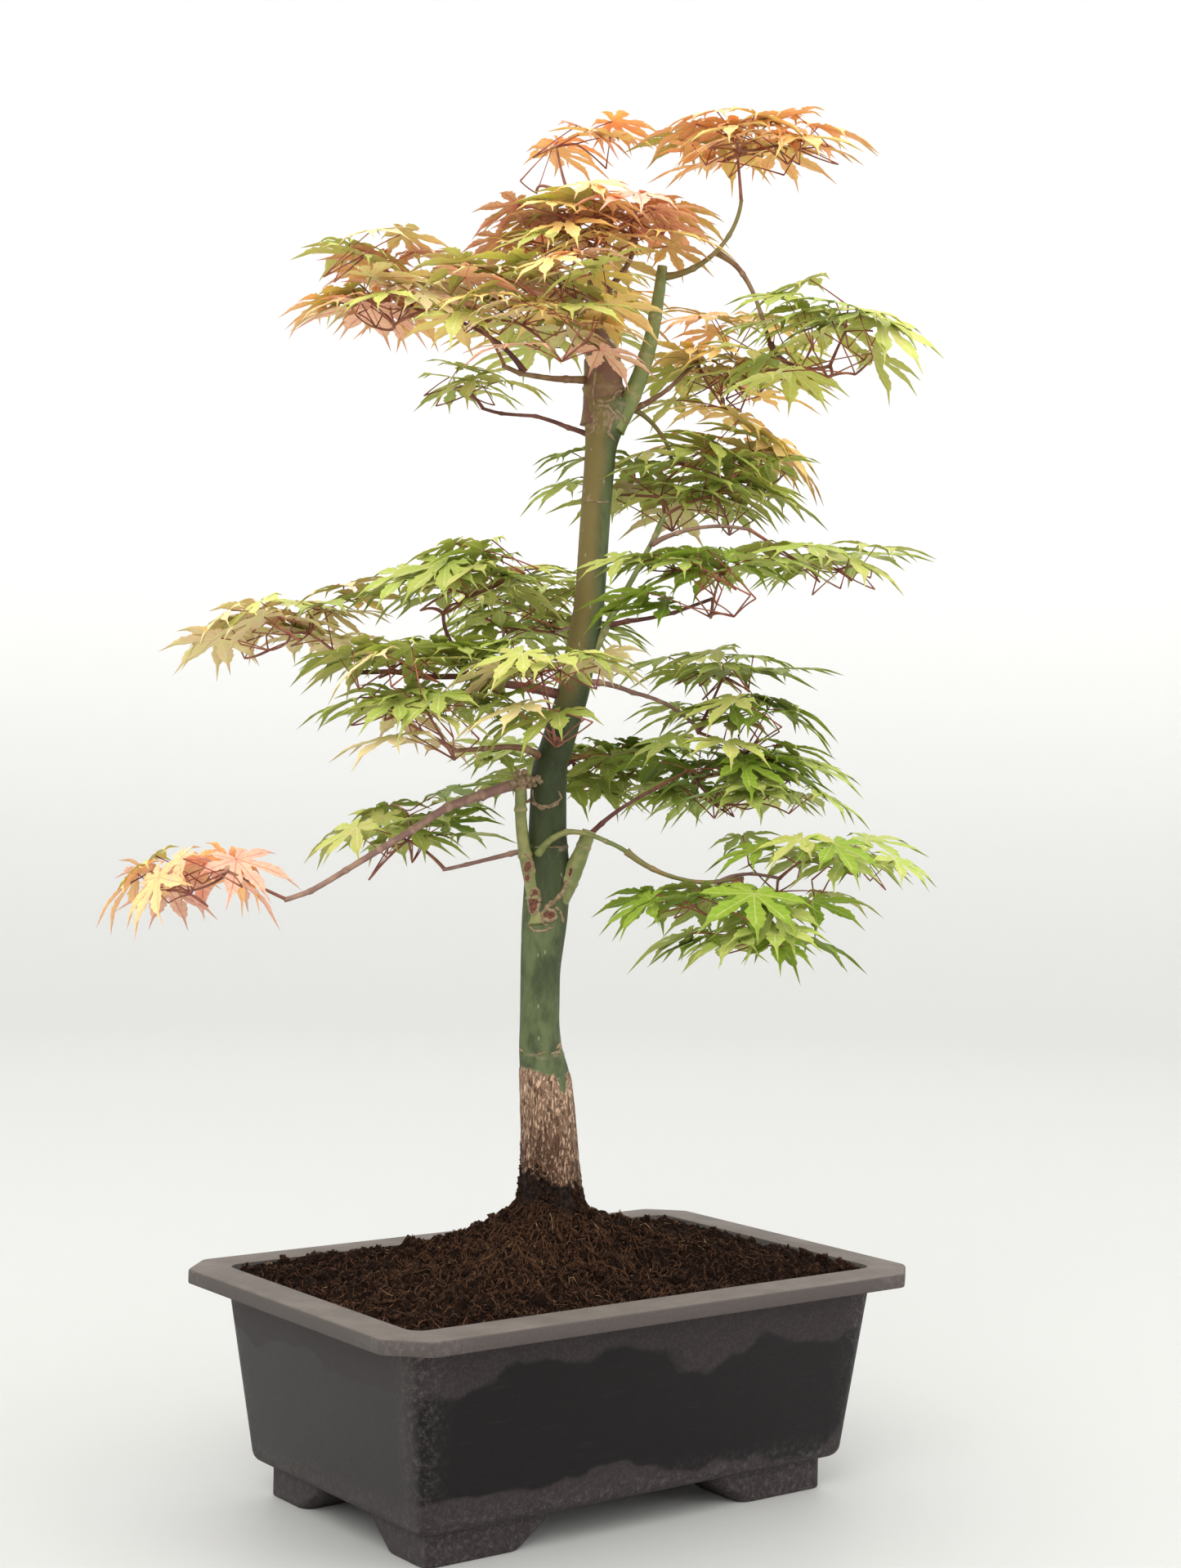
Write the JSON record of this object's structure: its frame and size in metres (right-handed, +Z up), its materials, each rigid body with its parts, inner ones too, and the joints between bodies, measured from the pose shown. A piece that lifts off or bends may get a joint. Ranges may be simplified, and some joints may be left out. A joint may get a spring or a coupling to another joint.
{
  "type": "japanese maple bonsai",
  "caption": "Slim young maple with a bent tapering trunk, crossing boughs and layered masses of lobed leaves, growing from heaped compost in a low rectangular footed training pot.",
  "frame": {"origin": "under the middle of the whole plant's bounding box, on the surface that the pot stands on", "axes": "+Z up along the trunk, +X along the pot's long side, +Y across the pot towards its back"},
  "size_m": [0.3678, 0.2664, 0.6779],
  "materials": {
    "pot_plastic": "matte",
    "compost": "matte",
    "trunk_bark": "satin",
    "bough_bark": "satin",
    "leaves_green": "satin",
    "leaves_lime": "satin",
    "leaves_gold": "satin",
    "leaves_orange": "satin",
    "leaves_salmon": "satin"
  },
  "bodies": {
    "root": {"pot": "pot_plastic", "soil": "compost", "trunk": "trunk_bark", "leader_left": "bough_bark", "leader_right": "bough_bark", "left_shoot": "bough_bark", "left_arm": "bough_bark", "left_twig": "bough_bark", "left_front": "bough_bark", "left_long": "bough_bark", "left_riser": "bough_bark", "crossing_arch": "bough_bark", "crossing_reach": "bough_bark", "right_low_twig": "bough_bark", "right_stub": "bough_bark", "right_twig": "bough_bark", "right_drop": "bough_bark", "right_riser": "bough_bark", "right_branch": "bough_bark", "right_sprig": "bough_bark", "upper_left_low": "bough_bark", "upper_left": "bough_bark", "upper_left_rise": "bough_bark", "upper_right_back": "bough_bark", "upper_right_fall": "bough_bark", "crown_left": "bough_bark", "crown_middle": "bough_bark", "crown_right": "bough_bark", "right_fall": "bough_bark", "right_reach": "bough_bark", "left_tip_leaves": "leaves_salmon", "left_back_leaves": "leaves_green", "left_front_leaves": "leaves_lime", "front_leaves": "leaves_green", "left_outer_leaves": "leaves_lime", "left_inner_leaves": "leaves_green", "right_low_leaves": "leaves_green", "right_outer_leaves": "leaves_green", "right_lower_leaves": "leaves_green", "right_middle_leaves": "leaves_green", "right_arm_leaves": "leaves_green", "right_front_leaves": "leaves_green", "right_upper_leaves": "leaves_lime", "upper_outer_leaves": "leaves_orange", "upper_front_leaves": "leaves_orange", "upper_low_leaves": "leaves_lime", "upper_middle_leaves": "leaves_gold", "crown_left_leaves": "leaves_orange", "crown_right_leaves": "leaves_gold", "right_reach_leaves": "leaves_lime", "upper_back_leaves": "leaves_gold", "right_fall_leaves": "leaves_gold", "back_low_leaves": "leaves_green", "back_middle_leaves": "leaves_green", "back_upper_leaves": "leaves_orange"}
  },
  "joints": []
}
